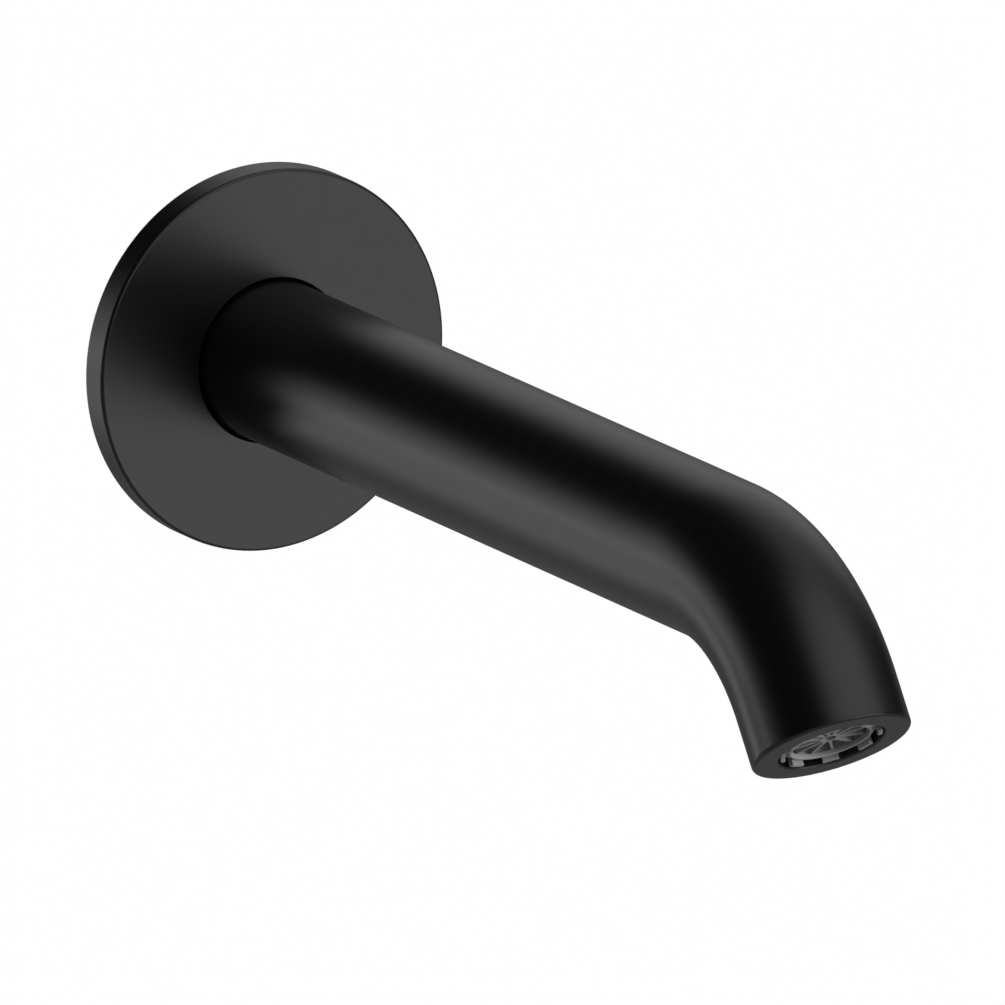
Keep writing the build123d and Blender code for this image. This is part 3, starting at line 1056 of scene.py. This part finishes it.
# Softboxes that reflections see: the middle of each, and the angles where it ends and where it is full
REAR_SOFTBOX = (toward(41.1, 28), math.radians(34.2), math.radians(5.3))
FRONT_SOFTBOX = (toward(150.3, 43.4), math.radians(53.8), math.radians(5))
LOW_SOFTBOX = (toward(186, 9), math.radians(14), math.radians(8))

# Window and backdrop that reflections see: where each ends and where it is full, as parts of a direction
WINDOW_SIDE = (-0.116, 0.492)
WINDOW_RISE = (0.046, 0.98)
BACKDROP_SIDE = (-0.082, -0.223)
BACKDROP_BACK = (0.0, 0.944)
BACKDROP_RISE = (math.sin(math.radians(18.7)), math.sin(math.radians(2)))
STUDIO_DARK = 0.008


def bare_material(name):
    """A new material with an empty tree, and that tree."""
    made = bpy.data.materials.new(name)
    made.use_nodes = True
    made.node_tree.nodes.clear()
    return made, made.node_tree


def set_up(name, mesh, made, hidden=()):
    """Put a piece of the stage in the scene, hidden from some kinds of ray."""
    mesh.materials.append(made)
    piece = new_object(name, mesh)
    for kind in hidden:
        setattr(piece, f"visible_{kind}", False)


def seen_rays(tree):
    """1 for rays from the eye and for rays that metal or glass sends on, and 0 for soft light."""
    path = add(tree, "ShaderNodeLightPath")
    seen = calc(tree, "MAXIMUM", path.outputs["Is Camera Ray"], path.outputs["Is Glossy Ray"])
    return calc(tree, "MAXIMUM", seen, path.outputs["Is Transmission Ray"])


def one_way(tree, shader):
    """Show a shader from the front, and nothing from behind."""
    clear = add(tree, "ShaderNodeBsdfTransparent")
    behind = add(tree, "ShaderNodeNewGeometry").outputs["Backfacing"]
    seen = add(tree, "ShaderNodeMixShader", {0: behind, 1: shader, 2: clear})
    add(tree, "ShaderNodeOutputMaterial", {"Surface": seen})


def fade(tree, value, start, end):
    """Rises softly from 0 to 1 as a value goes from start to end, up or down."""
    made = add(tree, "ShaderNodeMapRange", {"Value": value, "From Min": start, "From Max": end})
    made.interpolation_type = "SMOOTHSTEP"
    return made.outputs["Result"]


def spot(tree, direction, where, outer, inner):
    """A round soft light on the studio's wall: nothing outside the outer angle, full inside the inner one."""
    facing = add(tree, "ShaderNodeVectorMath", {0: direction, 1: where}, operation="DOT_PRODUCT")
    return fade(tree, facing.outputs["Value"], math.cos(outer), math.cos(inner))


def make_floor():
    """Pale floor, lifted to white for the eye and for reflections, that still takes the shadow."""
    stage = settings().stage
    mesh = bpy.data.meshes.new("floor")
    corners = [(x * FLOOR_REACH, y * FLOOR_REACH) for x, y in ((-1, -1), (1, -1), (1, 1), (-1, 1))]
    mesh.from_pydata([(x, y, -stage.floor_drop) for x, y in corners], [], [(0, 1, 2, 3)])
    made, tree = bare_material("pale_floor")
    matt = add(tree, "ShaderNodeBsdfDiffuse", {"Color": [*stage.floor_colour, 1.0]})
    lift = calc(tree, "MULTIPLY", seen_rays(tree), stage.floor_lift)
    glow = add(tree, "ShaderNodeEmission", {"Strength": lift})
    one_way(tree, add(tree, "ShaderNodeAddShader", {0: matt, 1: glow}))
    set_up("floor", mesh, made)


def make_flag():
    """A dark flag below the spout, which shows the white floor to reflections in its bays only; its cloth is
    paler below the spout, a painted pool of light.
    """
    stage = settings().stage
    rim = []
    for step in range(FLAG_STEPS):
        turn = FULL_TURN * step / FLAG_STEPS - math.pi
        reach = next((reach for start, end, reach in FLAG_BAYS if start < turn < end), FLOOR_REACH)
        rim.append((reach * math.sin(turn), reach * math.cos(turn), -stage.flag_drop))
    mesh = bpy.data.meshes.new("flag")
    mesh.from_pydata([*rim, (0, 0, -stage.flag_drop)], [], [
        ((step + 1) % FLAG_STEPS, step, FLAG_STEPS) for step in range(FLAG_STEPS)
    ])
    mesh.transform(Matrix.Translation((0, (CAD_BOX[0].y + CAD_BOX[1].y) / 2, 0)))
    made, tree = bare_material("flag_cloth")
    where = add(tree, "ShaderNodeTexCoord").outputs["Object"]
    away = add(tree, "ShaderNodeVectorMath", {0: where}, operation="LENGTH").outputs["Value"]
    # Painted pool of light: the cloth is paler below the spout and fades darker farther out
    painted_light_pool = add(tree, "ShaderNodeMapRange", {
        "Value": away, "From Min": FLAG_PAINTED_LIGHT_FADE[0], "From Max": FLAG_PAINTED_LIGHT_FADE[1],
        "To Min": stage.flag_painted_light_middle, "To Max": stage.flag_edge,
    })
    one_way(tree, add(tree, "ShaderNodeBsdfDiffuse", {"Color": painted_light_pool.outputs["Result"]}))
    set_up("flag", mesh, made, hidden=("camera", "shadow", "transmission"))


def make_studio():
    """Dark studio that reflections see: soft lights right and in front, and a white backdrop on the left."""
    stage = settings().stage
    shape = bmesh.new()
    bmesh.ops.create_icosphere(shape, subdivisions=4, radius=STUDIO_REACH)
    mesh = bpy.data.meshes.new("studio")
    shape.to_mesh(mesh)
    shape.free()
    made, tree = bare_material("studio_walls")
    made.cycles.emission_sampling = "NONE"
    where = add(tree, "ShaderNodeTexCoord").outputs["Object"]
    direction = add(tree, "ShaderNodeVectorMath", {0: where}, operation="NORMALIZE").outputs["Vector"]
    parts = add(tree, "ShaderNodeSeparateXYZ", {0: direction})
    aside, behind, rise = parts.outputs["X"], parts.outputs["Y"], parts.outputs["Z"]
    light = calc(tree, "MULTIPLY", fade(tree, aside, *WINDOW_SIDE), fade(tree, rise, *WINDOW_RISE))
    light = calc(tree, "MULTIPLY", light, stage.window_level)
    for softbox, strength in (
        (REAR_SOFTBOX, stage.rear_level),
        (FRONT_SOFTBOX, stage.front_level),
        (LOW_SOFTBOX, stage.low_level),
    ):
        shine = calc(tree, "MULTIPLY", spot(tree, direction, *softbox), strength)
        light = calc(tree, "MAXIMUM", light, shine)
    backdrop = calc(tree, "MULTIPLY", fade(tree, aside, *BACKDROP_SIDE), fade(tree, behind, *BACKDROP_BACK))
    backdrop = calc(tree, "MULTIPLY", backdrop, fade(tree, rise, *BACKDROP_RISE))
    light = calc(tree, "ADD", light, STUDIO_DARK)
    light = calc(tree, "MULTIPLY_ADD", backdrop, stage.backdrop_level, light)
    glow = add(tree, "ShaderNodeEmission", {"Strength": light})
    add(tree, "ShaderNodeOutputMaterial", {"Surface": glow})
    set_up("studio", mesh, made, hidden=("camera", "diffuse", "shadow", "transmission"))


def make_lights():
    """Broad soft lights from above and from the front, kept out of reflections."""
    stage = settings().stage
    for name, energy, spread, where in (
        ("overhead_light", stage.key_level, KEY_SPREAD, KEY_PLACE),
        ("front_light", stage.fill_level, FILL_SPREAD, FILL_PLACE),
    ):
        light = bpy.data.lights.new(name, "SUN")
        light.energy = energy
        light.angle = spread
        lamp = new_object(name, light)
        lamp.rotation_euler = where.to_track_quat("Z", "Y").to_euler()
        lamp.visible_glossy = False
        lamp.visible_camera = False


def make_world():
    """White all round, for the eye and for what metal or glass sends on, with a soft ambient light."""
    world = bpy.data.worlds.new("white_surround")
    bpy.context.scene.world = world
    world.use_nodes = True
    tree = world.node_tree
    tree.nodes.clear()
    strength = calc(tree, "MAXIMUM", seen_rays(tree), settings().stage.ambient_level)
    glow = add(tree, "ShaderNodeBackground", {"Color": WHITE, "Strength": strength})
    add(tree, "ShaderNodeOutputWorld", {"Surface": glow})


def make_camera():
    """Camera far off, at the photograph's angle."""
    stage = settings().stage
    back = Vector((
        -math.sin(stage.turn) * math.cos(stage.rise),
        -math.cos(stage.turn) * math.cos(stage.rise),
        math.sin(stage.rise),
    ))
    right = Vector((math.cos(stage.turn), -math.sin(stage.turn), 0))
    lens = bpy.data.cameras.new("camera")
    lens.sensor_width = 36.0
    lens.lens = lens.sensor_width * stage.distance / stage.frame_width
    lens.clip_end = CAMERA_REACH
    camera = new_object("camera", lens)
    camera.location = back * stage.distance + right * stage.aim_right + back.cross(right) * stage.aim_up
    camera.rotation_euler = (-back).to_track_quat("-Z", "Y").to_euler()
    bpy.context.scene.camera = camera


class SPOUT_OT_stage(bpy.types.Operator):
    """Set the floor, the flag, the studio, the lights, the white surround and the camera."""

    bl_idname = "spout.stage"
    bl_label = "Stage"

    def execute(self, context):
        make_floor()
        make_flag()
        make_studio()
        make_lights()
        make_world()
        make_camera()
        context.scene.view_settings.view_transform = "Standard"
        return {"FINISHED"}


OPERATORS = (
    SPOUT_OT_tube,
    SPOUT_OT_flange,
    SPOUT_OT_seals,
    SPOUT_OT_nipple,
    SPOUT_OT_grub_screw,
    SPOUT_OT_aerator_housing,
    SPOUT_OT_outlet_star,
    SPOUT_OT_aerator_insides,
    SPOUT_OT_stage,
)


class SPOUT_PT_panel(bpy.types.Panel):
    """Lists the spout's pieces and stage in the sidebar."""

    bl_label = "Bath Spout"
    bl_idname = "SPOUT_PT_panel"
    bl_space_type = "VIEW_3D"
    bl_region_type = "UI"
    bl_category = "Bath Spout"

    def draw(self, context):
        for operator in OPERATORS:
            self.layout.operator(operator.bl_idname)


CLASSES = (
    SpoutTubeSizes,
    SpoutFlangeSizes,
    SpoutNippleSizes,
    SpoutAeratorSizes,
    SpoutFinishes,
    SpoutStage,
    SpoutSettings,
    *OPERATORS,
    SPOUT_PT_panel,
)


def register():
    for cls in CLASSES:
        bpy.utils.register_class(cls)
    bpy.types.Scene.bath_spout = PointerProperty(type=SpoutSettings)


def unregister():
    del bpy.types.Scene.bath_spout
    for cls in reversed(CLASSES):
        bpy.utils.unregister_class(cls)


def main():
    register()
    bpy.ops.spout.tube()
    bpy.ops.spout.flange()
    bpy.ops.spout.seals()
    bpy.ops.spout.nipple()
    bpy.ops.spout.grub_screw()
    bpy.ops.spout.aerator_housing()
    bpy.ops.spout.outlet_star()
    bpy.ops.spout.aerator_insides()
    bpy.ops.spout.stage()


if __name__ == "__main__":
    main()
